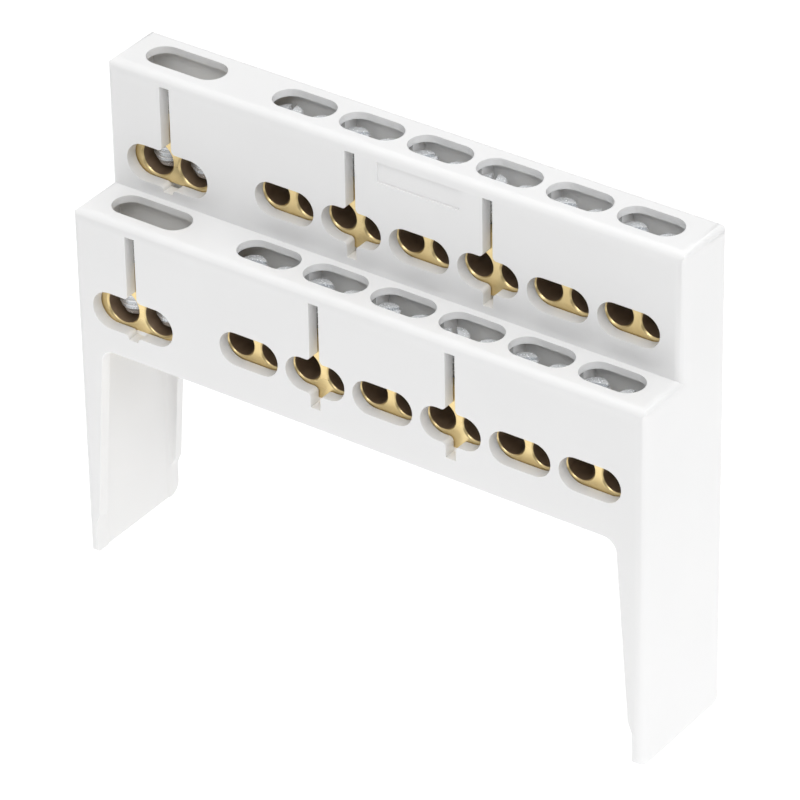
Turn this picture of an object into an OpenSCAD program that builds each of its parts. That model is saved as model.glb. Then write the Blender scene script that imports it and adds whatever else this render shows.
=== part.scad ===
// Two-tier earth terminal bar: a stepped plastic housing on two channel legs holds two brass
// bars, one above and behind the other. Wires enter through the windows in the front walls and
// are clamped by the screws under the windows in the tops.
// The origin is on the standing plane, midway along and midway through the body. +X runs along
// the bars, -Y is the side that the wires enter, +Z is up.

/* [Brass bars] */
// Depth of a bar, front to back
bar_d = 7.8; // [7.4:0.1:10]
// Height of a bar
bar_h = 11.9; // [11.7:0.1:15]
// Chamfer along a bar's long edges
bar_chamfer = 0.3; // [0.1:0.1:0.6]
// Chamfer at the mouth of each wire hole
mouth_chamfer = 0.3; // [0.1:0.05:0.4]

/* [Terminals] */
// Number of double terminals in a bar
pair_count = 6; // [2:1:7]
// Distance from one double terminal to the next
pair_pitch = 13; // [12.4:0.1:14]
// Distance between the two wire holes of a double terminal
hole_pitch = 6.5; // [6:0.1:7]
// Diameter of a small wire hole
hole_d = 4.9; // [4:0.1:5.4]
// Depth of the small wire holes' axes below a bar's top face
hole_drop = 6.6; // [6:0.1:7.5]
// Distance between the two large wire holes
big_hole_pitch = 7.4; // [7:0.1:8]
// Diameter of a large wire hole
big_hole_d = 6; // [5:0.1:6.4]
// Thickness of the brass left under a large wire hole
big_hole_web = 0.8; // [0.6:0.1:1.6]
// Distance from the large terminal to the first double terminal
big_to_first = 23.2; // [20:0.1:26]
// Distance from the left end of the body to the large terminal
big_margin = 11.8; // [11:0.1:14]
// Distance from the last double terminal to the right end of the body
end_margin = 10; // [9:0.1:14]

/* [Screws] */
// Diameter of a small screw
screw_d = 4.8; // [4:0.1:5]
// Length of a small screw
screw_len = 10; // [8:0.1:10.5]
// Depth of a small screw's top below its tier's top face, when backed out
screw_sink = 2.4; // [1.6:0.1:2.4]
// Diameter of a large screw
big_screw_d = 5.9; // [5:0.1:6.4]
// Length of a large screw
big_screw_len = 12; // [10:0.1:12.3]
// Height of a large screw's tip above the bottom of its wire hole, when wound in
big_screw_lift = 0.9; // [0.7:0.1:3]
// Width of the screwdriver slot
drive_w = 0.9; // [0.6:0.1:1.2]
// Depth of the screwdriver slot
drive_depth = 1.2; // [0.8:0.1:1.6]
// Chamfer on both ends of a screw
screw_chamfer = 0.4; // [0.2:0.1:0.6]
// Turn from one screw's slot to the next one's, in degrees
drive_step = 37; // [0:1:90]
// Radial clearance between a screw and its tapped hole
thread_clear = 0.05; // [0.02:0.01:0.1]

/* [Housing walls] */
// Thickness of the front walls
wall = 2.2; // [1.6:0.1:2.6]
// Thickness of the rear wall
rear_wall = 1.6; // [1.4:0.1:2.4]
// Thickness of the end walls and of the legs' sides
end_wall = 1.8; // [1.4:0.1:2.4]
// Thickness of the tops
top_wall = 1.3; // [1:0.1:1.5]
// Height of a tier's top face above its bar's top face
bar_sink = 8.8; // [8.2:0.1:9.6]
// How far the lower walls reach below the lower bar
skirt = 4.1; // [3.6:0.1:6]
// Height of the upper bar's underside above the lower tier's top face
tier_gap = 1.8; // [1.6:0.1:5]
// Rounding of the edges between the tops and the front walls
edge_r = 2; // [1:0.1:2.4]
// Rounding of the edges between the tops and the end walls
end_edge_r = 1.6; // [0.8:0.1:2]
// Rounding of the upright front corners
corner_r = 1.8; // [1:0.1:2.2]
// Rounding of the rear edges
rear_r = 0.8; // [0.4:0.1:1.2]

/* [Windows] */
// Length of a cable window
cable_l = 11.5; // [11.2:0.1:12]
// Height of a cable window
cable_h = 6.1; // [5.6:0.1:7]
// Length of the large cable window
big_cable_l = 16.1; // [14.5:0.1:17]
// Height of the large cable window
big_cable_h = 6.7; // [6.5:0.1:7]
// Length of a screwdriver window
driver_l = 11.4; // [11:0.1:12]
// Width of a screwdriver window
driver_w = 6; // [5:0.1:6.2]
// Length of the large screwdriver window
big_driver_l = 14.9; // [14:0.1:16]
// Width of a relief slot beside the snap hooks
slot_w = 1.9; // [1.4:0.1:2.4]
// Depth of a relief slot's upper end below its tier's top face
slot_sink = 1.7; // [1.5:0.1:3]
// How far a relief slot reaches below its bar
slot_under = 0.4; // [0.2:0.1:1.2]
// Fillet where a relief slot meets a cable window
slot_r = 0.7; // [0.4:0.1:0.8]
// Length of the bare label field
label_l = 15.5; // [8:0.1:20]
// Height of the label field
label_h = 3.6; // [2:0.1:5]
// Depth of the label field
label_depth = 0.3; // [0.1:0.05:0.5]

/* [Bar seats] */
// Clearance between a bar and the walls, hooks and stop ribs that hold it
bar_clear = 0.15; // [0.05:0.05:0.2]
// Gap behind the lower bar
bay_gap = 0.45; // [0.3:0.05:0.9]
// Gap between a bar's end and the end wall
end_gap = 1.2; // [0.8:0.1:2]
// How far a snap hook reaches under its bar
hook_reach = 1.2; // [0.8:0.1:1.6]
// Height of a snap hook
hook_h = 3; // [2.4:0.1:3.4]
// Width of a snap hook
hook_w = 3; // [2:0.1:4]
// Depth of the stop ribs above a bar
rib_d = 3; // [1.5:0.1:4]
// Thickness of the stop ribs and end ribs
rib_t = 1.2; // [0.8:0.1:1.4]

/* [Legs] */
// Height of the legs below the walls
leg_h = 41.2; // [30:0.1:60]
// Width of a leg's flanges at the top
flange_w = 5; // [4:0.1:7]
// Width of a leg's flanges above the foot
foot_flange_w = 2.8; // [2.4:0.1:4]
// Height of the plain foot below the flanges
foot_h = 6.8; // [4:0.1:10]
// Width of the flanges' remains along the foot
foot_rib_w = 2; // [2:0.1:2.4]
// Fillet between the legs and the walls' lower edges
crotch_r = 2.5; // [1:0.1:5]
// Fillet between a leg's side and its flanges
channel_r = 1.5; // [0.6:0.1:2]
// Rounding of a foot's rear corner
heel_r = 2.2; // [0.6:0.1:4]
// Rounding of a foot's front corner
toe_r = 0.8; // [0.4:0.1:2]

/* [Hidden] */
$fn = 64;
over = 1; // how far a cut runs past the face it opens
label_overlap = 0.2; // the label field's share of the rounded edge
hook_lip = 0.6; // height of a snap hook's blunt tip
hook_side = 0.4; // from the side of a relief slot to its hooks
foot_step = 2; // height of the ramp between a leg's flanges and its foot
big_count = 2;
small_count = 2 * pair_count;

// Along X: the large terminal lies at the left, the double terminals follow.
body_len = big_margin + big_to_first + (pair_count - 1) * pair_pitch + end_margin;
left_x = -body_len / 2;
right_x = body_len / 2;
big_x = left_x + big_margin;
pair_x = [for (i = [0 : pair_count - 1]) big_x + big_to_first + i * pair_pitch];
slot_x = [for (i = [1 : 2 : pair_count - 1]) if (i < 4) pair_x[i]];
bar_len = body_len - 2 * (end_wall + end_gap);
// The ribs stand midway between neighbouring terminals.
rib_x = concat([(big_x + pair_x[0]) / 2], [for (i = [1 : pair_count - 1]) pair_x[i] - pair_pitch / 2]);

// Along Y: each tier is a front wall, a bar and the gap behind it.
tier_step = wall + bar_clear + bar_d + bay_gap;
body_depth = tier_step + wall + 2 * bar_clear + bar_d + rear_wall;
rear_y = body_depth / 2;
lower_front = -body_depth / 2;
upper_front = lower_front + tier_step;
bar_in = wall + bar_clear; // a bar's front face behind its tier's front face
screw_in = bar_in + bar_d / 2; // the screws' axes behind their tier's front face

// Along Z: the bars hang at the same depth below both tops.
lower_top = leg_h + skirt + bar_h + bar_sink;
upper_top = lower_top + tier_gap + bar_h + bar_sink;
big_hole_drop = bar_h - big_hole_web - big_hole_d / 2; // large wire holes below a bar's top face
hole_sink = bar_sink + hole_drop; // small wire holes below a tier's top face
big_hole_sink = bar_sink + big_hole_drop; // large wire holes below a tier's top face
bar_bottom_sink = bar_sink + bar_h;
slot_end_sink = bar_bottom_sink + slot_under;
label_sink = edge_r - label_overlap; // the label field starts just below the rounded edge

// X position of a small terminal, counted from 1 at the large terminal's side.
function small_x(i) = pair_x[floor((i - 1) / 2)] + (i % 2 == 1 ? -1 : 1) * hole_pitch / 2;
// X position of a large terminal, 1 or 2.
function large_x(i) = big_x + (i == 1 ? -1 : 1) * big_hole_pitch / 2;

// ---- Placing helpers ----

// Extrudes a profile drawn in X and Z from y to y + depth.
module along_y(y, depth) {
    translate([0, y + depth, 0]) rotate([90, 0, 0]) linear_extrude(depth) children();
}

// Extrudes a profile drawn in Y and Z from x to x + length.
module along_x(x, length) {
    translate([x, 0, 0]) rotate([90, 0, 90]) linear_extrude(length) children();
}

// An obround of full length l and full height h, centred on the origin.
module obround(l, h) {
    square([l - h, h], center = true);
    for (side = [-1, 1]) translate([side * (l - h) / 2, 0]) circle(d = h);
}

// A rectangle from a to b with its own rounding at each corner, 0 for a sharp one.
module rounded_rect(a, b, r_low_left, r_low_right, r_top_right, r_top_left) {
    corners = [
        [a, [1, 1], r_low_left],
        [[b[0], a[1]], [-1, 1], r_low_right],
        [b, [-1, -1], r_top_right],
        [[a[0], b[1]], [1, -1], r_top_left]
    ];
    difference() {
        translate(a) square(b - a);
        for (c = corners) if (c[2] > 0) corner_waste(c[0], c[1], c[2]);
    }
}

// What a rounding of radius r takes off a corner; inward points from the corner into the shape.
module corner_waste(corner, inward, r) {
    translate(corner) into_quadrant(inward) difference() {
        translate([-over, -over]) square(r + over);
        translate([r, r]) circle(r);
    }
}

// Mirrors a shape drawn in the first quadrant into the quadrant that inward points to.
module into_quadrant(inward) {
    mirror([inward[0] < 0 ? 1 : 0, 0]) mirror([0, inward[1] < 0 ? 1 : 0]) children();
}

// ---- Housing ----

// One tier's outer block: three rounded profiles, one along each axis, meet in it.
module tier_block(front, top) {
    intersection() {
        along_x(left_x, body_len)
            rounded_rect([front, 0], [rear_y, top], toe_r, heel_r, rear_r, edge_r);
        along_y(front, rear_y - front)
            rounded_rect([left_x, 0], [right_x, top], 0, 0, end_edge_r, end_edge_r);
        linear_extrude(top)
            rounded_rect([left_x, front], [right_x, rear_y], corner_r, corner_r, rear_r, rear_r);
    }
}

// The bay behind a tier's front wall, open below.
module bay(front, back, top) {
    translate([left_x + end_wall, front + wall, leg_h - over])
        cube([body_len - 2 * end_wall, back - front - wall, top - top_wall - leg_h + over]);
}

// The space between the legs: tapered flanges, a short ramp down to the feet, filleted corners.
module leg_gap() {
    top_x = right_x - flange_w;
    foot_x = right_x - foot_flange_w;
    foot_rib_x = right_x - foot_rib_w;
    high_z = foot_h + foot_step / 2;
    low_z = foot_h - foot_step / 2;
    difference() {
        polygon([
            [-foot_rib_x, -over], [-foot_rib_x, low_z], [-foot_x, high_z], [-top_x, leg_h - crotch_r],
            [-top_x, leg_h], [top_x, leg_h], [top_x, leg_h - crotch_r], [foot_x, high_z],
            [foot_rib_x, low_z], [foot_rib_x, -over]
        ]);
        corner_waste([-top_x, leg_h], [1, -1], crotch_r);
        corner_waste([top_x, leg_h], [-1, -1], crotch_r);
    }
}

// The hollow inside the legs' flanges, filleted along its upright corners.
module leg_channels() {
    translate([0, 0, -over]) linear_extrude(leg_h + over)
        rounded_rect(
            [left_x + end_wall, lower_front + wall], [right_x - end_wall, rear_y - rear_wall],
            channel_r, channel_r, channel_r, channel_r
        );
}

// A relief slot and the fillets where it meets a window of height h, from the window's centre.
module slot_profile(h, up, down) {
    translate([-slot_w / 2, -down]) square([slot_w, up + down]);
    for (sx = [-1, 1], sz = [-1, 1])
        translate([sx * slot_w / 2, sz * h / 2]) into_quadrant([sx, sz]) difference() {
            translate([-slot_w / 4, -slot_w / 4]) square(slot_r + slot_w / 4);
            translate([slot_r, slot_r]) circle(slot_r);
        }
}

// All cuts through one tier's front wall.
module front_windows(front, top) {
    along_y(front - over, wall + over + bar_clear) {
        for (x = pair_x) translate([x, top - hole_sink]) obround(cable_l, cable_h);
        translate([big_x, top - big_hole_sink]) obround(big_cable_l, big_cable_h);
        for (x = slot_x) translate([x, top - hole_sink])
            slot_profile(cable_h, hole_sink - slot_sink, slot_end_sink - hole_sink);
        translate([big_x, top - big_hole_sink])
            slot_profile(big_cable_h, big_hole_sink - slot_sink, slot_end_sink - big_hole_sink);
    }
}

// All cuts through one tier's top.
module top_windows(front, top) {
    translate([0, front + screw_in, top - top_wall - over]) linear_extrude(top_wall + 2 * over) {
        for (x = pair_x) translate([x, 0]) obround(driver_l, driver_w);
        translate([big_x, 0]) obround(big_driver_l, driver_w);
    }
}

// A snap hook: a flat ledge under the bar over a ramp, pointing along +Y from y = 0.
module hook(reach, bar_bottom) {
    ledge = bar_bottom - bar_clear;
    root = min(wall, rear_wall) / 2; // the part that lies inside the wall
    along_x(-hook_w / 2, hook_w)
        polygon([[-root, ledge], [reach, ledge], [reach, ledge - hook_lip], [0, ledge - hook_h],
            [-root, ledge - hook_h]]);
}

// The hooks, stop ribs and end ribs that hold one tier's bar.
module bar_seats(front, back, top) {
    bar_bottom = top - bar_bottom_sink;
    bar_back = front + bar_in + bar_d;
    for (x = concat([big_x], slot_x), side = [-1, 1])
        translate([x + side * (slot_w / 2 + hook_side + hook_w / 2), 0, 0]) {
            translate([0, front + wall, 0]) hook(bar_clear + hook_reach, bar_bottom);
            translate([0, back, 0]) mirror([0, 1, 0]) hook(back - bar_back + hook_reach, bar_bottom);
        }
    rib_z = top - bar_sink + bar_clear;
    for (x = rib_x)
        translate([x - rib_t / 2, bar_back - rib_d, rib_z])
            cube([rib_t, rib_d + back - bar_back + rear_wall / 2, bar_sink - bar_clear - top_wall / 2]);
    for (side = [-1, 1])
        translate([side * (body_len - end_wall) / 2, front + screw_in, 0])
            translate([side < 0 ? 0 : -end_wall / 2 - end_gap + bar_clear, -rib_t / 2, bar_bottom])
                cube([end_wall / 2 + end_gap - bar_clear, rib_t, bar_bottom_sink - top_wall / 2]);
}

module housing() {
    color("white") {
        difference() {
            union() {
                tier_block(lower_front, lower_top);
                tier_block(upper_front, upper_top);
            }
            bay(lower_front, upper_front, lower_top);
            bay(upper_front, rear_y - rear_wall, upper_top);
            along_y(lower_front - over, body_depth + 2 * over) leg_gap();
            leg_channels();
            front_windows(lower_front, lower_top);
            front_windows(upper_front, upper_top);
            top_windows(lower_front, lower_top);
            top_windows(upper_front, upper_top);
            translate([(slot_x[0] + slot_x[len(slot_x) - 1] - label_l) / 2, upper_front - over,
                upper_top - label_sink - label_h])
                cube([label_l, over + label_depth, label_h]);
        }
        bar_seats(lower_front, upper_front, lower_top);
        bar_seats(upper_front, rear_y - rear_wall, upper_top);
    }
}

// ---- Brass bars ----

// A wire hole through the bar along Y, chamfered at both mouths, with its tapped hole from above.
module terminal_holes(x, front, z, bar_top, wire_d, thread_d) {
    translate([x, front, z]) rotate([-90, 0, 0]) {
        translate([0, 0, -over]) cylinder(d = wire_d, h = bar_d + 2 * over);
        cylinder(r1 = wire_d / 2 + mouth_chamfer, r2 = wire_d / 2, h = mouth_chamfer);
        translate([0, 0, bar_d - mouth_chamfer])
            cylinder(r1 = wire_d / 2, r2 = wire_d / 2 + mouth_chamfer, h = mouth_chamfer);
    }
    translate([x, front + bar_d / 2, z]) cylinder(d = thread_d, h = bar_top - z + over);
}

module terminal_bar(tier_front, tier_top) {
    front = tier_front + bar_in;
    bar_top = tier_top - bar_sink;
    low = [front, bar_top - bar_h];
    high = [front + bar_d, bar_top];
    c = bar_chamfer;
    color("gold") difference() {
        along_x(-bar_len / 2, bar_len)
            polygon([
                [low[0] + c, low[1]], [high[0] - c, low[1]], [high[0], low[1] + c], [high[0], high[1] - c],
                [high[0] - c, high[1]], [low[0] + c, high[1]], [low[0], high[1] - c], [low[0], low[1] + c]
            ]);
        for (i = [1 : small_count])
            terminal_holes(small_x(i), front, bar_top - hole_drop, bar_top, hole_d,
                screw_d + 2 * thread_clear);
        for (i = [1 : big_count])
            terminal_holes(large_x(i), front, bar_top - big_hole_drop, bar_top, big_hole_d,
                big_screw_d + 2 * thread_clear);
    }
}

module lower_bar() { terminal_bar(lower_front, lower_top); }
module upper_bar() { terminal_bar(upper_front, upper_top); }

// ---- Screws ----

// A headless slotted screw standing on z = 0, its tip narrowed to tip_r over the height tip_h.
module slotted_screw(d, length, tip_r, tip_h, turn) {
    c = screw_chamfer;
    color("silver") difference() {
        union() {
            cylinder(r1 = tip_r, r2 = d / 2, h = tip_h);
            translate([0, 0, tip_h]) cylinder(d = d, h = length - tip_h - c);
            translate([0, 0, length - c]) cylinder(r1 = d / 2, r2 = d / 2 - c, h = c);
        }
        rotate([0, 0, turn]) translate([-d, -drive_w / 2, length - drive_depth])
            cube([2 * d, drive_w, drive_depth + over]);
    }
}

// A small screw, backed out clear of its wire hole.
module small_screw(i, tier_front, tier_top) {
    translate([small_x(i), tier_front + screw_in, tier_top - screw_sink - screw_len])
        slotted_screw(screw_d, screw_len, screw_d / 2 - screw_chamfer, screw_chamfer, i * drive_step);
}

// A large screw, wound in across its wire hole; the tip clears the hole's curved floor.
module large_screw(i, tier_front, tier_top) {
    tip_z = tier_top - big_hole_sink - big_hole_d / 2 + big_screw_lift;
    tip_h = big_hole_d / 2 - big_screw_lift;
    tip_r = big_hole_d / 3 - thread_clear;
    translate([large_x(i), tier_front + screw_in, tip_z])
        slotted_screw(big_screw_d, big_screw_len, tip_r, tip_h, i * drive_step);
}

// ---- Nodes ----

housing();
lower_bar();
upper_bar();
for (i = [1 : small_count]) {
    small_screw(i, lower_front, lower_top);
    small_screw(i, upper_front, upper_top);
}
for (i = [1 : big_count]) {
    large_screw(i, lower_front, lower_top);
    large_screw(i, upper_front, upper_top);
}
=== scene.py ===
"""Looks of a two-tier earth terminal bar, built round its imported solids.

The product is a gloss white moulded housing on two channel-shaped legs. It holds two drawn brass
bars with cross-drilled wire holes, and a slotted grub screw stands above each hole. The housing
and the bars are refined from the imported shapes; the screws are cut anew with real threads.
"""

from __future__ import annotations

import logging
import math
from collections.abc import Callable, Iterator, Mapping, Sequence
from contextlib import contextmanager
from dataclasses import dataclass, field
from enum import Enum

import bmesh
import bpy
from mathutils import Matrix, Vector

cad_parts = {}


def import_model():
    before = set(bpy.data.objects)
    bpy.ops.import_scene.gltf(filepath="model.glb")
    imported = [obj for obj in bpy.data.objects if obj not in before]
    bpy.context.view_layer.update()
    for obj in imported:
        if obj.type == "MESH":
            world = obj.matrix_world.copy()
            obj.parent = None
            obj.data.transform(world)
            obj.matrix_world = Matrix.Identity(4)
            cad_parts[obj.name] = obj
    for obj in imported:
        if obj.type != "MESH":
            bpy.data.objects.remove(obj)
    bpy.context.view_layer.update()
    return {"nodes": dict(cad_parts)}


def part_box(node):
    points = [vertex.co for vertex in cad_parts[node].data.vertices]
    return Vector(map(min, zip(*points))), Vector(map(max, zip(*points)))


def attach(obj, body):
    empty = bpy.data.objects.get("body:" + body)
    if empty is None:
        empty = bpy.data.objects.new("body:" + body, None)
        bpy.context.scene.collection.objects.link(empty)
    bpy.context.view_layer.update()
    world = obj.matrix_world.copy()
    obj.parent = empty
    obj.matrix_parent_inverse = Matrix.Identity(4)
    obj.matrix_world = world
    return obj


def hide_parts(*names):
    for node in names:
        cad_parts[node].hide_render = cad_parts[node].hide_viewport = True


MM = 0.001
JOIN_MM = 0.002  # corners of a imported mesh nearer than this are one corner
PLANE_ANGLE = 0.4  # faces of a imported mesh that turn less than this, in degrees, are one plane
NEAR_MM = 0.01  # how exactly a face or an edge lies in a named plane
SQUARE = 0.999  # share of its normal along an axis with which a face is square to that axis
FACING = 0.9  # share of its normal along an axis with which a face still looks that way
log = logging.getLogger("earth_terminal_bar")


# ---- Shared tools ----


def linear(code: str) -> tuple[float, float, float, float]:
    """Turns an sRGB hex colour into a linear one.

    Args:
        code: The colour as "#RRGGBB".

    Returns:
        Linear red, green, blue and an alpha of 1.
    """
    parts = [int(code[i : i + 2], 16) / 255 for i in (1, 3, 5)]
    red, green, blue = (c / 12.92 if c <= 0.04045 else ((c + 0.055) / 1.055) ** 2.4 for c in parts)
    return red, green, blue, 1.0


def per_metre(spacing_mm: float) -> float:
    """Returns the texture scale that gives one feature in each spacing of that many millimetres."""
    return 1.0 / (spacing_mm * MM)


def add_node(
    tree: bpy.types.NodeTree,
    kind: str,
    settings: Mapping[str | int, object] | None = None,
    links: Mapping[str | int, bpy.types.NodeSocket] | None = None,
) -> bpy.types.Node:
    """Adds one shader node with its settings and links.

    Args:
        tree: The node tree that gets the node.
        kind: The node's Blender type.
        settings: Values by the name or number of an input socket, or else by the node's property.
        links: Output sockets by the name or number of the input socket that they feed.

    Returns:
        The new node.
    """
    node = tree.nodes.new(kind)
    for name, value in (settings or {}).items():
        if isinstance(name, int) or name in node.inputs:
            node.inputs[name].default_value = value
        else:
            setattr(node, name, value)
    for name, source in (links or {}).items():
        tree.links.new(source, node.inputs[name])
    return node


class Bench:
    """The work bench: it takes up one piece at a time and works on it with Blender's operators."""

    @staticmethod
    def clear() -> None:
        """Leaves edit mode and puts every piece down."""
        if bpy.context.mode != "OBJECT":
            bpy.ops.object.mode_set(mode="OBJECT")
        bpy.ops.object.select_all(action="DESELECT")

    @staticmethod
    def take(piece: bpy.types.Object) -> None:
        """Takes up one piece alone."""
        Bench.clear()
        piece.select_set(True)
        bpy.context.view_layer.objects.active = piece

    @staticmethod
    @contextmanager
    def editing(piece: bpy.types.Object, element: str = "FACE") -> Iterator[None]:
        """Opens a piece in edit mode with nothing selected.

        Args:
            piece: The piece to work on.
            element: What is selected by hand: VERT, EDGE or FACE.

        Returns:
            A context that ends in object mode.
        """
        Bench.take(piece)
        bpy.ops.object.mode_set(mode="EDIT")
        bpy.ops.mesh.select_mode(type=element)
        bpy.ops.mesh.select_all(action="DESELECT")
        yield
        bpy.ops.object.mode_set(mode="OBJECT")

    @staticmethod
    def pick_edges(piece: bpy.types.Object, wanted: Callable[[bmesh.types.BMEdge], bool]) -> None:
        """Selects edges of the piece in edit mode.

        Args:
            piece: The piece that is open in edit mode.
            wanted: Says whether an edge is wanted.
        """
        mesh = bmesh.from_edit_mesh(piece.data)
        mesh.normal_update()
        chosen = [edge for edge in mesh.edges if wanted(edge)]
        for edge in mesh.edges:
            edge.select_set(False)
        for edge in chosen:
            edge.select_set(True)
        bmesh.update_edit_mesh(piece.data)

    @staticmethod
    def weigh_edges(piece: bpy.types.Object, share: Callable[[bmesh.types.BMEdge], float]) -> None:
        """Sets how strongly the bevel modifier rounds each edge.

        Args:
            piece: The piece to prepare.
            share: Returns an edge's share of the widest rounding, from 0 to 1.
        """
        with Bench.editing(piece, "EDGE"):
            mesh = bmesh.from_edit_mesh(piece.data)
            mesh.normal_update()
            layer = mesh.edges.layers.float.get("bevel_weight_edge")
            if layer is None:
                layer = mesh.edges.layers.float.new("bevel_weight_edge")
            weights = [share(edge) for edge in mesh.edges]
            for edge, weight in zip(mesh.edges, weights, strict=True):
                edge[layer] = weight
            bmesh.update_edit_mesh(piece.data)
        log.info("%s: %d edges to round", piece.name, sum(w > 0 for w in weights))

    @staticmethod
    def apply(piece: bpy.types.Object, kind: str, **settings: object) -> None:
        """Adds a modifier to the piece and applies it at once.

        Args:
            piece: The piece to work on.
            kind: The modifier's Blender type.
            settings: The modifier's properties.
        """
        Bench.take(piece)
        modifier = piece.modifiers.new(kind.lower(), kind)
        for name, value in settings.items():
            setattr(modifier, name, value)
        bpy.ops.object.modifier_apply(modifier=modifier.name)

    @staticmethod
    def copy_node(node: bpy.types.Object, name: str) -> bpy.types.Object:
        """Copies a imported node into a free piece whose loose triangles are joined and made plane.

        Args:
            node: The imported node.
            name: The new piece's name.

        Returns:
            The new piece, at the origin, with a mesh of its own and no material.
        """
        piece = bpy.data.objects.new(name, node.data.copy())
        piece.data.name = name
        piece.data.materials.clear()
        bpy.context.scene.collection.objects.link(piece)
        with Bench.editing(piece, "VERT"):
            bpy.ops.mesh.select_all(action="SELECT")
            bpy.ops.mesh.customdata_custom_splitnormals_clear()
            bpy.ops.mesh.remove_doubles(threshold=JOIN_MM * MM)
            bpy.ops.mesh.dissolve_limited(angle_limit=math.radians(PLANE_ANGLE), delimit={"NORMAL"})
        return piece

    @staticmethod
    def soften(piece: bpy.types.Object, angle: float) -> None:
        """Shades the piece smooth below an angle, with its flat faces kept flat.

        Args:
            piece: The piece to shade.
            angle: The largest angle that still shades smooth, in degrees.
        """
        Bench.take(piece)
        bpy.ops.object.shade_smooth_by_angle(angle=math.radians(angle))
        Bench.apply(piece, "WEIGHTED_NORMAL", mode="FACE_AREA", weight=60, keep_sharp=True)


def stand_for(piece: bpy.types.Object, node: str) -> None:
    """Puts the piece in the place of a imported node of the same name.

    Args:
        piece: The finished piece.
        node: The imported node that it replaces.
    """
    Bench.clear()
    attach(piece, "root")
    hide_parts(node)
    log.info("%s replaces %s, %d faces", piece.name, node, len(piece.data.polygons))


# ---- Finishes ----


@dataclass(frozen=True)
class Finish:
    """A finish: a material for a real substance and the way its surface was made.

    Attributes:
        name: The material's name.
        colour: The main colour, sRGB hex.
        second: The colour that the surface drifts to, sRGB hex.
        roughness: The lowest and highest roughness.
    """

    name: str
    colour: str
    second: str
    roughness: tuple[float, float]

    def material(self) -> bpy.types.Material:
        """Returns the finish's material, made on the first call."""
        known = bpy.data.materials.get(self.name)
        if known:
            return known
        material = bpy.data.materials.new(self.name)
        material.use_nodes = True
        tree = material.node_tree
        tree.nodes.clear()
        shader = add_node(tree, "ShaderNodeBsdfPrincipled")
        surface = {"Surface": shader.outputs["BSDF"]}
        add_node(tree, "ShaderNodeOutputMaterial", {"target": "ALL"}, surface)
        place = add_node(tree, "ShaderNodeTexCoord").outputs["Object"]
        self.dress(tree, shader, place)
        return material

    def dress(
        self, tree: bpy.types.NodeTree, shader: bpy.types.Node, place: bpy.types.NodeSocket
    ) -> None:
        """Sets the shader for this finish.

        Args:
            tree: The material's node tree.
            shader: Its Principled BSDF.
            place: Object coordinates, in metres.
        """
        raise NotImplementedError

    def grain(
        self,
        tree: bpy.types.NodeTree,
        place: bpy.types.NodeSocket,
        spacing_mm: tuple[float, float, float],
        detail: float = 2.0,
    ) -> bpy.types.NodeSocket:
        """Lays a noise over the surface, stretched along X, Y and Z.

        Args:
            tree: The material's node tree.
            place: Object coordinates, in metres.
            spacing_mm: The real spacing of its features along X, Y and Z.
            detail: How many finer layers it has.

        Returns:
            The noise, from 0 to 1.
        """
        scale = tuple(per_metre(s) for s in spacing_mm)
        mapped = add_node(tree, "ShaderNodeMapping", {"Scale": scale}, {"Vector": place})
        noise = add_node(
            tree,
            "ShaderNodeTexNoise",
            {"Scale": 1.0, "Detail": detail, "Roughness": 0.55},
            {"Vector": mapped.outputs["Vector"]},
        )
        return noise.outputs["Fac"]

    def drift(
        self, tree: bpy.types.NodeTree, shader: bpy.types.Node, amount: bpy.types.NodeSocket
    ) -> None:
        """Lets the colour drift from the main one to the second one.

        Args:
            tree: The material's node tree.
            shader: Its Principled BSDF.
            amount: How far it drifts at each place, from 0 to 1.
        """
        mix = add_node(
            tree,
            "ShaderNodeMix",
            {"data_type": "RGBA", 6: linear(self.colour), 7: linear(self.second)},
            {0: amount},
        )
        tree.links.new(mix.outputs[2], shader.inputs["Base Color"])

    def relief(
        self,
        tree: bpy.types.NodeTree,
        height: bpy.types.NodeSocket,
        strength: float,
        deep_mm: float,
    ) -> bpy.types.NodeSocket:
        """Raises a pattern from the surface.

        Args:
            tree: The material's node tree.
            height: The pattern.
            strength: How strongly it shows, from 0 to 1.
            deep_mm: How deep the pattern's full range is.

        Returns:
            The surface's normal with the pattern in it.
        """
        settings = {"Strength": strength, "Distance": deep_mm * MM}
        return add_node(tree, "ShaderNodeBump", settings, {"Height": height}).outputs["Normal"]

    def polish(
        self, tree: bpy.types.NodeTree, shader: bpy.types.Node, amount: bpy.types.NodeSocket
    ) -> None:
        """Spreads the roughness between its lowest and highest value.

        Args:
            tree: The material's node tree.
            shader: Its Principled BSDF.
            amount: The pattern to follow, mostly between 0.3 and 0.7.
        """
        low, high = self.roughness
        spread = add_node(
            tree,
            "ShaderNodeMapRange",
            {"From Min": 0.3, "From Max": 0.7, "To Min": low, "To Max": high},
            {"Value": amount},
        )
        tree.links.new(spread.outputs["Result"], shader.inputs["Roughness"])


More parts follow.
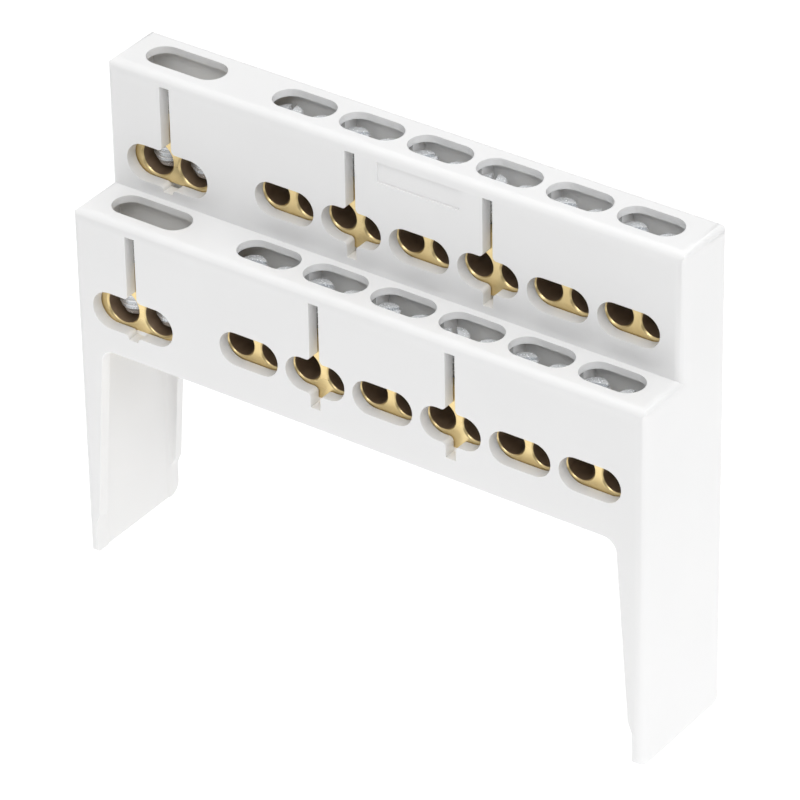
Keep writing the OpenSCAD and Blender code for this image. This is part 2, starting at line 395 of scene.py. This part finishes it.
@dataclass(frozen=True)
class MouldedGloss(Finish):
    """White ABS, injection-moulded in a polished tool.

    Attributes:
        peel_mm: Spacing of the faint orange peel that gloss mouldings have.
        sink_mm: Spacing of the slow waves that cooling leaves in flat walls.
        wave_share: How much higher the slow waves stand than the peel.
        mark: Middle of the ejector mark in X and Z, in millimetres.
        mark_radius_mm: Radius of the ejector mark.
        mark_edge_mm: Half the width of its soft edge.
        mark_deep_mm: How deep it lies.
        depth_share: Share of the light that enters the plastic and glows through its thin rims.
        depth_mm: How far that light travels.
        depth_tint: Share of that distance that red, green and blue light travels.
        index: The plastic's refractive index.
    """

    peel_mm: float = 1.1
    sink_mm: float = 14.0
    wave_share: float = 6.0
    mark: tuple[float, float] = (37.6, 68.9)
    mark_radius_mm: float = 0.8
    mark_edge_mm: float = 0.12
    mark_deep_mm: float = 0.05
    depth_share: float = 0.2
    depth_mm: float = 1.2
    depth_tint: tuple[float, float, float] = (1.0, 0.98, 0.95)
    index: float = 1.53

    def dress(
        self, tree: bpy.types.NodeTree, shader: bpy.types.Node, place: bpy.types.NodeSocket
    ) -> None:
        """Gives near-white plastic with a soft gloss, peel, sink waves and an ejector mark."""
        waves = self.grain(tree, place, (self.sink_mm,) * 3, detail=1.0)
        peel = self.grain(tree, place, (self.peel_mm,) * 3, detail=1.0)
        self.drift(tree, shader, waves)
        self.polish(tree, shader, peel)
        height = add_node(
            tree,
            "ShaderNodeMath",
            {"operation": "MULTIPLY_ADD", 1: self.wave_share},
            {0: waves, 2: peel},
        )
        uneven = self.relief(tree, height.outputs[0], strength=0.2, deep_mm=0.003)
        flat = add_node(
            tree, "ShaderNodeVectorMath", {"operation": "MULTIPLY", 1: (1.0, 0.0, 1.0)}, {0: place}
        )
        middle = (self.mark[0] * MM, 0.0, self.mark[1] * MM)
        away = add_node(
            tree,
            "ShaderNodeVectorMath",
            {"operation": "DISTANCE", 1: middle},
            {0: flat.outputs["Vector"]},
        )
        radius, edge = self.mark_radius_mm * MM, self.mark_edge_mm * MM
        ring = add_node(
            tree,
            "ShaderNodeMapRange",
            {"From Min": radius - edge, "From Max": radius + edge},
            {"Value": away.outputs["Value"]},
        )
        marked = add_node(
            tree,
            "ShaderNodeBump",
            {"Strength": 0.5, "Distance": self.mark_deep_mm * MM},
            {"Height": ring.outputs["Result"], "Normal": uneven},
        )
        tree.links.new(marked.outputs["Normal"], shader.inputs["Normal"])
        shader.inputs["IOR"].default_value = self.index
        shader.inputs["Subsurface Weight"].default_value = self.depth_share
        shader.inputs["Subsurface Radius"].default_value = self.depth_tint
        shader.inputs["Subsurface Scale"].default_value = self.depth_mm * MM


@dataclass(frozen=True)
class DrawnBrass(Finish):
    """Brass bar stock, drawn through a die: fine lines along the bar and a satin glow.

    Attributes:
        line_mm: Spacing of the draw lines, drawn coarser than the real 0.02 mm so that they show.
        run_mm: How far one line runs along the bar.
        stain_mm: Spacing of the slight tarnish.
    """

    line_mm: float = 0.16
    run_mm: float = 9.0
    stain_mm: float = 2.6

    def dress(
        self, tree: bpy.types.NodeTree, shader: bpy.types.Node, place: bpy.types.NodeSocket
    ) -> None:
        """Gives yellow metal with lengthwise lines in its gloss and a slow, faint tarnish."""
        lines = self.grain(tree, place, (self.run_mm, self.line_mm, self.line_mm), detail=3.0)
        stain = self.grain(tree, place, (self.stain_mm,) * 3)
        self.drift(tree, shader, stain)
        self.polish(tree, shader, lines)
        scored = self.relief(tree, lines, strength=0.2, deep_mm=0.004)
        tree.links.new(scored, shader.inputs["Normal"])
        shader.inputs["Metallic"].default_value = 1.0


@dataclass(frozen=True)
class BoreBrassPaintedShade(Finish):
    """The same brass inside a drilled hole, with the rings that the drill's feed leaves; its darker
    colour is painted shade for the deep holes.

    Attributes:
        feed_mm: Spacing of the rings, drawn coarser than the real 0.1 mm feed so that they show.
        run_mm: How far one ring runs round the hole.
        stain_mm: Spacing of the slow clouds in which the painted shade's colour drifts.
        bare: Share of metallic shading; the rest shades as a diffuse surface in the darker colour
            of the painted shade.
        oil: Weight of the thin film of cutting oil, which greys the deep reflections.
        oil_roughness: The film's own roughness.
    """

    feed_mm: float = 0.3
    run_mm: float = 7.0
    stain_mm: float = 1.8
    bare: float = 0.5
    oil: float = 0.3
    oil_roughness: float = 0.3

    def dress(
        self, tree: bpy.types.NodeTree, shader: bpy.types.Node, place: bpy.types.NodeSocket
    ) -> None:
        """Gives a darker brass, painted shade for the inside of the holes, whose gloss breaks up in
        rings round the hole.
        """
        rings = self.grain(tree, place, (self.run_mm, self.feed_mm, self.run_mm))
        stain = self.grain(tree, place, (self.stain_mm,) * 3)
        self.drift(tree, shader, stain)
        self.polish(tree, shader, rings)
        ringed = self.relief(tree, rings, strength=0.2, deep_mm=0.01)
        tree.links.new(ringed, shader.inputs["Normal"])
        shader.inputs["Metallic"].default_value = self.bare
        shader.inputs["Coat Weight"].default_value = self.oil
        shader.inputs["Coat Roughness"].default_value = self.oil_roughness


@dataclass(frozen=True)
class BrightZinc(Finish):
    """Steel with a bright zinc plating, blue-passivated in a barrel.

    Attributes:
        cloud_mm: Spacing of the soft clouds that the passivation leaves.
        knock_mm: Spacing of the small dents from the barrel.
        bare: Share of bright metal; the rest is the passivation's milky film.
    """

    cloud_mm: float = 1.6
    knock_mm: float = 0.35
    bare: float = 0.6

    def dress(
        self, tree: bpy.types.NodeTree, shader: bpy.types.Node, place: bpy.types.NodeSocket
    ) -> None:
        """Gives a pale, slightly blue metal with a lively, uneven shine."""
        clouds = self.grain(tree, place, (self.cloud_mm,) * 3)
        knocks = self.grain(tree, place, (self.knock_mm,) * 3, detail=3.0)
        self.drift(tree, shader, clouds)
        self.polish(tree, shader, knocks)
        dented = self.relief(tree, knocks, strength=0.15, deep_mm=0.004)
        tree.links.new(dented, shader.inputs["Normal"])
        shader.inputs["Metallic"].default_value = self.bare


@dataclass(frozen=True)
class PaleCard(Finish):
    """Smooth card under the product, with a painted glow: light of its own, strongest in a painted
    pool of light round the middle.

    Attributes:
        fibre_mm: Spacing of the card's faint fibre.
        glow: Strength of the painted glow near the middle; this light of the card's own also lights
            the product from below.
        dim_painted_glow: The painted glow's strength farther away.
        painted_light_pool: Where the painted pool of light starts and stops to fall off, in metres
            from the middle.
    """

    fibre_mm: float = 3.0
    glow: float = 0.95
    dim_painted_glow: float = 0.35
    painted_light_pool: tuple[float, float] = (0.27, 0.6)

    def dress(
        self, tree: bpy.types.NodeTree, shader: bpy.types.Node, place: bpy.types.NodeSocket
    ) -> None:
        """Gives an even, matt ground: grey, so that little light bounces, and white by its painted
        glow, which fades outside the painted pool of light.
        """
        fibre = self.grain(tree, place, (self.fibre_mm,) * 3)
        self.drift(tree, shader, fibre)
        self.polish(tree, shader, fibre)
        # Painted glow: the card gives off light of its own, fading away from the middle as a
        # painted pool of light.
        shader.inputs["Emission Color"].default_value = linear("#FFFFFF")
        away = add_node(tree, "ShaderNodeVectorMath", {"operation": "LENGTH"}, {0: place})
        near, far = self.painted_light_pool
        painted_light_pool = add_node(
            tree,
            "ShaderNodeMapRange",
            {
                "interpolation_type": "SMOOTHSTEP",
                "From Min": near,
                "From Max": far,
                "To Min": self.glow,
                "To Max": self.dim_painted_glow,
            },
            {"Value": away.outputs["Value"]},
        )
        tree.links.new(painted_light_pool.outputs["Result"], shader.inputs["Emission Strength"])


WHITE_MOULDING = MouldedGloss("abs_gloss_moulded", "#F2F2F2", "#EEEEEE", (0.28, 0.36))
BRASS_DRAWN = DrawnBrass("brass_drawn", "#F4DFAA", "#E4CA90", (0.27, 0.39))
# The bore brass's darker colours are painted shade for the inside of the deep holes.
BRASS_BORE_PAINTED_SHADE = BoreBrassPaintedShade("brass_bore_painted_shade", "#A68E74", "#88725C", (0.32, 0.46))
ZINC_BRIGHT = BrightZinc("steel_bright_zinc", "#F6F8FA", "#E8EBEE", (0.18, 0.30))
# The floor's whiteness is painted light: an emitting card, brightest in a pool round the product.
CARD_PAINTED_GLOW = PaleCard("card_matt_painted_glow", "#8C8C8C", "#888888", (0.85, 0.95))


# ---- The housing ----


@dataclass
class Housing:
    """The two-tier moulded housing with its windows, relief slots, snap hooks and legs.

    The four roundings are the ones asked for. The bevel's clamp narrows them all by one share,
    until the closest pair of edges no longer overlaps, and they come out about 45 times finer.

    Attributes:
        node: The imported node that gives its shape.
        rim_mm: Rounding of the windows' outer rims.
        slot_mm: Rounding of the relief slots' outer edges.
        edge_mm: Rounding of the legs' front edges.
        fine_mm: Rounding of the label field's edge.
        leg_mm: Height below which only the legs and the walls' lower edges lie.
        slots_mm: Where the relief slots stand along X.
        slot_width_mm: Width of a relief slot.
        slot_fillet_mm: Fillet between a relief slot and its window.
        front_step_mm: From the lower tier's front face to the upper one's.
        top_step_mm: From the lower tier's top to the upper one's.
        label_mm: Height of the band under the top that holds the label field.
        label_depth_mm: The label field's floor lies less deep than this.
        sharp_angle: A rim's faces turn at least this far, in degrees.
        smooth_angle: The largest angle that shades smooth, in degrees.
        steep: An edge is upright when it rises this many times as far as it runs.
        centre_mm: How near the middle of an edge that closes a slot lies to the slot's middle.
        segments: Faces across a rounding.
        faces: Where the tiers' front and top planes lie, in metres, found by build.
    """

    node: str = "housing"
    rim_mm: float = 0.5
    slot_mm: float = 0.12
    edge_mm: float = 0.3
    fine_mm: float = 0.1
    leg_mm: float = 43.0
    slots_mm: tuple[float, ...] = (-43.2, -7.0, 19.0)
    slot_width_mm: float = 1.9
    slot_fillet_mm: float = 0.7
    front_step_mm: float = 10.6
    top_step_mm: float = 22.5
    label_mm: float = 6.0
    label_depth_mm: float = 0.29
    sharp_angle: float = 60.0
    smooth_angle: float = 40.0
    steep: float = 1.2
    centre_mm: float = 0.1
    segments: int = 4
    faces: dict[str, float] = field(default_factory=dict)

    def build(self, source: bpy.types.Object) -> bpy.types.Object:
        """Rounds the moulding's edges, each kind by its own share of the widest rounding.

        Args:
            source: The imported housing.

        Returns:
            The rounded housing.
        """
        low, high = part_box(self.node)
        self.faces = {
            "lower_front": low.y,
            "upper_front": low.y + self.front_step_mm * MM,
            "upper_top": high.z,
            "lower_top": high.z - self.top_step_mm * MM,
        }
        shell = Bench.copy_node(source, "moulded_housing")
        widest = max(self.rim_mm, self.slot_mm, self.edge_mm, self.fine_mm)
        Bench.weigh_edges(shell, lambda edge: self.rounding(edge) / widest)
        Bench.apply(
            shell,
            "BEVEL",
            width=widest * MM,
            segments=self.segments,
            limit_method="WEIGHT",
            offset_type="OFFSET",
            use_clamp_overlap=True,
        )
        Bench.soften(shell, self.smooth_angle)
        return shell

    def rounding(self, edge: bmesh.types.BMEdge) -> float:
        """Returns the radius asked for at an edge, in millimetres, or 0 for one left as it is."""
        if not self.is_rim(edge):
            return 0.0
        if all(v.co.z < self.leg_mm * MM for v in edge.verts):
            return self.edge_mm
        if self.by_label(edge):
            return self.fine_mm
        return self.slot_mm if self.by_slot(edge) else self.rim_mm

    def by_slot(self, edge: bmesh.types.BMEdge) -> bool:
        """Says whether an edge belongs to a relief slot: it is upright, or it closes the slot."""
        first, second = (v.co for v in edge.verts)
        upright = abs(first.z - second.z) > self.steep * abs(first.x - second.x)
        middle = (first.x + second.x) / 2
        nearest = min(abs(middle - x * MM) for x in self.slots_mm)
        reach = (self.slot_width_mm / 2 + self.slot_fillet_mm) * MM
        return nearest < reach and (upright or nearest < self.centre_mm * MM)

    def by_label(self, edge: bmesh.types.BMEdge) -> bool:
        """Says whether an edge belongs to the shallow label field."""
        lowest = self.faces["upper_top"] - self.label_mm * MM
        deepest = self.label_depth_mm * MM
        return any(
            f.calc_center_median().z > lowest
            and abs(f.calc_center_median().y - self.faces["upper_front"]) < deepest
            and f.normal.y > -FACING
            for f in edge.link_faces
        )

    def is_rim(self, edge: bmesh.types.BMEdge) -> bool:
        """Says whether an edge is a crisp one where the front or top plane of a tier ends."""
        if len(edge.link_faces) != 2 or not edge.is_convex:
            return False
        if edge.calc_face_angle(0.0) < math.radians(self.sharp_angle):
            return False
        outer = [f for f in edge.link_faces if self.on_front(f) or self.on_top(f)]
        return len(outer) == 1

    def on_front(self, face: bmesh.types.BMFace) -> bool:
        """Says whether a face lies in the front plane of a tier."""
        y = face.calc_center_median().y
        planes = (self.faces["lower_front"], self.faces["upper_front"])
        return face.normal.y < -SQUARE and any(abs(y - p) < NEAR_MM * MM for p in planes)

    def on_top(self, face: bmesh.types.BMFace) -> bool:
        """Says whether a face lies in the top plane of a tier."""
        z = face.calc_center_median().z
        planes = (self.faces["lower_top"], self.faces["upper_top"])
        return face.normal.z > SQUARE and any(abs(z - p) < NEAR_MM * MM for p in planes)

    def dress(self, shell: bpy.types.Object) -> None:
        """Gives the housing its gloss white plastic."""
        shell.data.materials.append(WHITE_MOULDING.material())


# ---- The brass bars ----


@dataclass
class TerminalBar:
    """A drawn brass bar, sawn to length and drilled.

    Attributes:
        node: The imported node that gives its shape.
        burr_mm: Rounding asked for on its edges, as deburring leaves it; the bevel's clamp narrows
            it where two edges lie close together.
        chamfer_mm: Width of the bar's own chamfers.
        skin_mm: Faces nearer than this to the bar's box belong to its outside.
        sharp_angle: A crisp edge's faces turn further than this, in degrees.
        smooth_angle: The largest angle that shades smooth, in degrees.
    """

    node: str
    burr_mm: float = 0.06
    chamfer_mm: float = 0.3
    skin_mm: float = 0.02
    sharp_angle: float = 30.0
    smooth_angle: float = 35.0

    def build(self, source: bpy.types.Object) -> bpy.types.Object:
        """Breaks the bar's edges.

        Args:
            source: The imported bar.

        Returns:
            The finished bar.
        """
        bar = Bench.copy_node(source, f"brass_{self.node}")
        with Bench.editing(bar, "EDGE"):
            Bench.pick_edges(bar, self.is_edge)
            bpy.ops.mesh.bevel(
                offset=self.burr_mm * MM,
                segments=2,
                profile=0.5,
                affect="EDGES",
                clamp_overlap=True,
            )
        Bench.soften(bar, self.smooth_angle)
        return bar

    def is_edge(self, edge: bmesh.types.BMEdge) -> bool:
        """Says whether an edge is a crisp outer one."""
        return (
            len(edge.link_faces) == 2
            and edge.is_convex
            and edge.calc_face_angle(0.0) > math.radians(self.sharp_angle)
        )

    def dress(self, bar: bpy.types.Object) -> None:
        """Gives the bar's outside the drawn finish and its holes the darker brass that paints their
        shade.
        """
        bar.data.materials.append(BRASS_DRAWN.material())
        bar.data.materials.append(BRASS_BORE_PAINTED_SHADE.material())
        low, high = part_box(self.node)
        skin = self.skin_mm * MM
        side = self.chamfer_mm * MM - skin
        for face in bar.data.polygons:
            x, y, z = face.center
            inside_y = low.y + side < y < high.y - side
            inside_z = low.z + skin < z < high.z - skin
            inside_x = low.x + skin < x < high.x - skin
            sawn_end = abs(face.normal.x) > FACING and not inside_x
            # Faces inside the holes get the darker brass: painted shade for the bores.
            face.material_index = 1 if inside_y and inside_z and not sawn_end else 0


# ---- The screws ----


class Tip(Enum):
    """How a screw's lower end is turned: how far its radius drops, and over what height, in mm."""

    CHAMFER = (0.4, 0.4)
    CONE = (0.85, 1.5)


@dataclass
class TerminalScrew:
    """A slotted grub screw with a rolled thread.

    Attributes:
        name: What the screw is called.
        diameter_mm: Outer diameter of its thread.
        length_mm: Length over all.
        pitch_mm: Pitch of its thread.
        depth_mm: Depth of its thread.
        tip: How its lower end is turned.
        chamfer_mm: Chamfer at the slotted end.
        slot_width_mm: Width of the screwdriver slot.
        slot_depth_mm: Depth of the screwdriver slot.
        slot_fillet_mm: Rounding of the slot's floor edges.
        spare_mm: How much wider the turned blank is than the thread.
        weld_mm: Corners nearer than this after the cuts are one corner.
        steps: Steps in one turn of the thread.
        sides: Faces round the turned blank.
        smooth_angle: The largest angle that shades smooth, in degrees.
    """

    name: str
    diameter_mm: float
    length_mm: float
    pitch_mm: float
    depth_mm: float
    tip: Tip
    chamfer_mm: float = 0.4
    slot_width_mm: float = 0.9
    slot_depth_mm: float = 1.2
    slot_fillet_mm: float = 0.12
    spare_mm: float = 0.1
    weld_mm: float = 0.001
    steps: int = 40
    sides: int = 64
    smooth_angle: float = 32.0

    def build(self) -> bpy.types.Object:
        """Rolls the thread, turns both ends and saws the slot, with the tip's middle at the origin.

        Returns:
            The pattern screw that is copied for each place.
        """
        thread = self.roll_thread()
        blank = self.turn_blank()
        Bench.apply(thread, "BOOLEAN", operation="INTERSECT", solver="EXACT", object=blank)
        cutter = self.saw_blade()
        Bench.apply(thread, "BOOLEAN", operation="DIFFERENCE", solver="EXACT", object=cutter)
        for spare in (blank, cutter):
            bpy.data.objects.remove(spare)
        with Bench.editing(thread, "VERT"):
            bpy.ops.mesh.select_all(action="SELECT")
            bpy.ops.mesh.remove_doubles(threshold=self.weld_mm * MM)
            bpy.ops.mesh.normals_make_consistent(inside=False)
        Bench.soften(thread, self.smooth_angle)
        thread.data.materials.clear()
        thread.data.materials.append(ZINC_BRIGHT.material())
        return thread

    def roll_thread(self) -> bpy.types.Object:
        """Spins a 60 degree thread profile up a helix that runs past both ends.

        Returns:
            A closed threaded rod.
        """
        major = self.diameter_mm / 2
        minor = major - self.depth_mm
        pitch = self.pitch_mm
        # Each corner's radius and its share of the pitch: root, flank up, crest, flank down, root.
        profile = (
            (minor, 0.0),
            (minor, 0.14),
            (major, 0.46),
            (major, 0.56),
            (minor, 0.88),
            (minor, 1.0),
        )
        mesh = bpy.data.meshes.new(self.name)
        points = [(r * MM, 0.0, (share - 1.0) * pitch * MM) for r, share in profile]
        mesh.from_pydata(points, [(i, i + 1) for i in range(len(points) - 1)], [])
        rod = bpy.data.objects.new(self.name, mesh)
        bpy.context.scene.collection.objects.link(rod)
        turns = math.ceil(self.length_mm / pitch) + 2
        Bench.apply(
            rod,
            "SCREW",
            axis="Z",
            angle=math.tau,
            screw_offset=pitch * MM,
            iterations=turns,
            steps=self.steps,
            render_steps=self.steps,
            use_merge_vertices=False,
            use_smooth_shade=False,
        )
        for height, outward in ((0.0, -1.0), (self.length_mm * MM, 1.0)):
            with Bench.editing(rod, "VERT"):
                bpy.ops.mesh.select_all(action="SELECT")
                bpy.ops.mesh.remove_doubles(threshold=JOIN_MM * MM)
                bpy.ops.mesh.select_all(action="SELECT")
                bpy.ops.mesh.bisect(
                    plane_co=(0.0, 0.0, height),
                    plane_no=(0.0, 0.0, outward),
                    use_fill=True,
                    clear_outer=True,
                    threshold=0.0001 * MM,
                )
        with Bench.editing(rod, "VERT"):
            bpy.ops.mesh.select_all(action="SELECT")
            bpy.ops.mesh.normals_make_consistent(inside=False)
        return rod

    def turn_blank(self) -> bpy.types.Object:
        """Turns the screw's outline: a chamfered top and a chamfered or long conical tip.

        Returns:
            A closed turned blank, slightly larger than the thread.
        """
        wide = self.diameter_mm / 2 + self.spare_mm
        chamfer = self.chamfer_mm + self.spare_mm
        drop, over = self.tip.value
        tip_radius = self.diameter_mm / 2 - drop
        tip_height = (wide - tip_radius) * over / drop
        bpy.ops.mesh.primitive_cylinder_add(
            vertices=self.sides,
            radius=tip_radius * MM,
            depth=0.2 * MM,
            location=(0.0, 0.0, 0.1 * MM),
        )
        blank = bpy.context.object
        stations = (
            (tip_height, wide),
            (self.length_mm - chamfer, wide),
            (self.length_mm, wide - chamfer),
        )
        with Bench.editing(blank, "FACE"):
            mesh = bmesh.from_edit_mesh(blank.data)
            top = max(mesh.faces, key=lambda f: f.calc_center_median().z)
            # The first disc is next to nothing thick, and each station is drawn up from it.
            reached, radius = 0.0001, tip_radius
            for vert in top.verts:
                vert.co.z = reached * MM
            top.select_set(True)
            bmesh.update_edit_mesh(blank.data)
            for height, next_radius in stations:
                bpy.ops.mesh.extrude_region_move(
                    TRANSFORM_OT_translate={"value": (0.0, 0.0, (height - reached) * MM)}
                )
                share = next_radius / radius
                bpy.ops.transform.resize(
                    value=(share, share, 1.0), center_override=(0.0, 0.0, height * MM)
                )
                reached, radius = height, next_radius
        return blank

    def saw_blade(self) -> bpy.types.Object:
        """Sets up the blade that saws the screwdriver slot.

        Returns:
            A thin block across the screw's top, its kerf's floor edges slightly rounded.
        """
        height = self.slot_depth_mm + 2.0  # it stands well out of the screw
        floor = self.length_mm - self.slot_depth_mm
        bpy.ops.mesh.primitive_cube_add(size=1.0, location=(0.0, 0.0, (floor + height / 2) * MM))
        blade = bpy.context.object
        blade.scale = (2 * self.diameter_mm * MM, self.slot_width_mm * MM, height * MM)
        bpy.ops.object.transform_apply(location=True, rotation=True, scale=True)
        with Bench.editing(blade, "EDGE"):
            Bench.pick_edges(
                blade,
                lambda e: all(abs(v.co.z - floor * MM) < NEAR_MM * MM for v in e.verts)
                and abs(e.verts[0].co.x - e.verts[1].co.x) > MM,
            )
            bpy.ops.mesh.bevel(offset=self.slot_fillet_mm * MM, segments=2, affect="EDGES")
        return blade

    def place(self, pattern: bpy.types.Object, node: str, turn: float) -> bpy.types.Object:
        """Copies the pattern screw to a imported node's place.

        Args:
            pattern: The pattern screw.
            node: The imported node.
            turn: How far the screw is turned about its axis, in degrees.

        Returns:
            The placed copy, with a mesh of its own.
        """
        low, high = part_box(node)
        middle = (low + high) / 2
        screw = bpy.data.objects.new(f"threaded_{node}", pattern.data.copy())
        screw.data.name = screw.name
        bpy.context.scene.collection.objects.link(screw)
        spot = Matrix.Translation((middle.x, middle.y, low.z))
        screw.data.transform(spot @ Matrix.Rotation(math.radians(turn), 4, "Z"))
        return screw


@dataclass
class ScrewSet:
    """All the terminal screws of both tiers.

    Attributes:
        tiers: Names of the tiers, as their nodes begin.
        small_turns: Where each small screw's slot points, in degrees, from the left.
        large_turns: The same for the large ones.
    """

    tiers: tuple[str, ...] = ("lower", "upper")
    small_turns: dict[str, tuple[float, ...]] = field(
        default_factory=lambda: {
            "lower": (20, 75, 25, 60, 40, 80, 130, 70, 35, 65, 15, 85),
            "upper": (100, 70, 35, 80, 50, 75, 110, 60, 25, 90, 30, 70),
        }
    )
    large_turns: dict[str, tuple[float, ...]] = field(
        default_factory=lambda: {"lower": (37, 74), "upper": (37, 74)}
    )

    def build(self) -> None:
        """Makes one screw of each size and copies it to every place."""
        small = TerminalScrew(
            "small_screw",
            diameter_mm=4.8,
            length_mm=10.0,
            pitch_mm=0.8,
            depth_mm=0.46,
            tip=Tip.CHAMFER,
        )
        large = TerminalScrew(
            "large_screw",
            diameter_mm=5.9,
            length_mm=12.0,
            pitch_mm=0.9,
            depth_mm=0.5,
            tip=Tip.CONE,
        )
        for pattern_screw, stem, turns in (
            (small, "screw", self.small_turns),
            (large, "big_screw", self.large_turns),
        ):
            pattern = pattern_screw.build()
            for tier in self.tiers:
                for number, turn in enumerate(turns[tier], start=1):
                    node = f"{tier}_{stem}_{number}"
                    stand_for(pattern_screw.place(pattern, node, turn), node)
            bpy.data.objects.remove(pattern)


# ---- The studio ----


@dataclass
class SoftBox:
    """A large soft light.

    Attributes:
        name: What the light is called.
        place: Where it hangs, in metres.
        size: Width and height of its face, in metres.
        power: Its power in watts.
        colour: Its colour, sRGB hex.
    """

    name: str
    place: tuple[float, float, float]
    size: tuple[float, float]
    power: float
    colour: str = "#FFFFFF"

    def hang(self, target: Vector) -> None:
        """Hangs the light so that it faces the target."""
        lamp = bpy.data.lights.new(self.name, "AREA")
        lamp.shape = "RECTANGLE"
        lamp.size, lamp.size_y = self.size
        lamp.energy = self.power
        lamp.color = linear(self.colour)[:3]
        holder = bpy.data.objects.new(self.name, lamp)
        holder.location = self.place
        aim = Vector(self.place) - target
        holder.rotation_euler = aim.to_track_quat("Z", "Y").to_euler()
        bpy.context.scene.collection.objects.link(holder)
        log.info("light %s, %.1f W", self.name, self.power)


@dataclass
class Studio:
    """Floor, lights, sky and camera round the product.

    Attributes:
        target_mm: The point that the camera looks at.
        distance_mm: From the camera to that point.
        azimuth: Turn of the camera about the product, in degrees.
        elevation: Height of the camera above the horizon, in degrees.
        roll: Turn of the camera about its own axis, in degrees.
        lens_mm: Focal length.
        sensor_mm: Width of the sensor.
        clip: Nearest and farthest distance that the camera shows, in metres.
        sky: Strength of the light from above.
        horizon: Strength of the light from the sides.
        floor_size: Side of the floor, in metres.
    """

    target_mm: tuple[float, float, float] = (1.218, 0.223, 43.425)
    distance_mm: float = 924.35
    azimuth: float = 35.731
    elevation: float = 32.752
    roll: float = -1.086
    lens_mm: float = 261.54
    sensor_mm: float = 36.0
    clip: tuple[float, float] = (0.01, 50.0)
    sky: float = 0.80
    horizon: float = 0.10
    floor_size: float = 6.0
    lights: Sequence[SoftBox] = (
        SoftBox("overhead_box", (-0.25, 0.08, 1.0), (1.0, 0.8), 2.8),
        SoftBox("key_box", (0.36, -0.5, 0.97), (0.5, 0.5), 3.4),
        SoftBox("right_box", (1.05, 0.0, 0.45), (0.7, 0.7), 2.5),
    )

    def set_camera(self) -> None:
        """Sets the camera to the right of the product and a little above it."""
        turn, tilt, roll = (math.radians(a) for a in (self.azimuth, self.elevation, self.roll))
        back = Vector(
            (math.sin(turn) * math.cos(tilt), -math.cos(turn) * math.cos(tilt), math.sin(tilt))
        )
        level = Vector((0.0, 0.0, 1.0)).cross(back).normalized()
        upright = back.cross(level)
        right = math.cos(roll) * level + math.sin(roll) * upright
        up = back.cross(right)
        lens = bpy.data.cameras.new("product_camera")
        lens.lens = self.lens_mm
        lens.sensor_width = self.sensor_mm
        lens.clip_start, lens.clip_end = self.clip
        camera = bpy.data.objects.new("product_camera", lens)
        spot = Vector(self.target_mm) * MM + back * self.distance_mm * MM
        facing = Matrix((right, up, back)).transposed().to_4x4()
        camera.matrix_world = Matrix.Translation(spot) @ facing
        bpy.context.scene.collection.objects.link(camera)
        bpy.context.scene.camera = camera

    def lay_floor(self) -> None:
        """Lays the pale floor under the product."""
        Bench.clear()
        bpy.ops.mesh.primitive_plane_add(size=self.floor_size, location=(0.0, 0.0, 0.0))
        floor = bpy.context.object
        floor.name = "pale_floor"
        floor.data.materials.append(CARD_PAINTED_GLOW.material())

    def light(self) -> None:
        """Sets an even sky that is a little brighter overhead, and hangs the soft boxes."""
        world = bpy.data.worlds.new("soft_sky")
        world.use_nodes = True
        tree = world.node_tree
        tree.nodes.clear()
        place = add_node(tree, "ShaderNodeTexCoord").outputs["Generated"]
        height = add_node(tree, "ShaderNodeSeparateXYZ", links={"Vector": place}).outputs["Z"]
        strength = add_node(
            tree,
            "ShaderNodeMapRange",
            {"From Min": 0.0, "From Max": 1.0, "To Min": self.horizon, "To Max": self.sky},
            {"Value": height},
        ).outputs["Result"]
        white = {"Color": linear("#FFFFFF")}
        glow = add_node(tree, "ShaderNodeBackground", white, {"Strength": strength})
        add_node(tree, "ShaderNodeOutputWorld", links={"Surface": glow.outputs["Background"]})
        bpy.context.scene.world = world
        target = Vector(self.target_mm) * MM
        for box in self.lights:
            box.hang(target)

    def build(self) -> None:
        """Sets up the whole studio."""
        bpy.context.scene.view_settings.view_transform = "Standard"
        self.set_camera()
        self.lay_floor()
        self.light()


# ---- The product ----


def main() -> None:
    """Builds the studio and the product, piece by piece."""
    logging.basicConfig(level=logging.INFO, format="%(message)s")
    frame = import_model()
    Studio().build()
    housing = Housing()
    shell = housing.build(frame["nodes"][housing.node])
    housing.dress(shell)
    stand_for(shell, housing.node)
    for node in ("lower_bar", "upper_bar"):
        bar = TerminalBar(node)
        brass = bar.build(frame["nodes"][node])
        bar.dress(brass)
        stand_for(brass, node)
    ScrewSet().build()
    Bench.clear()


if __name__ == "__main__":
    main()
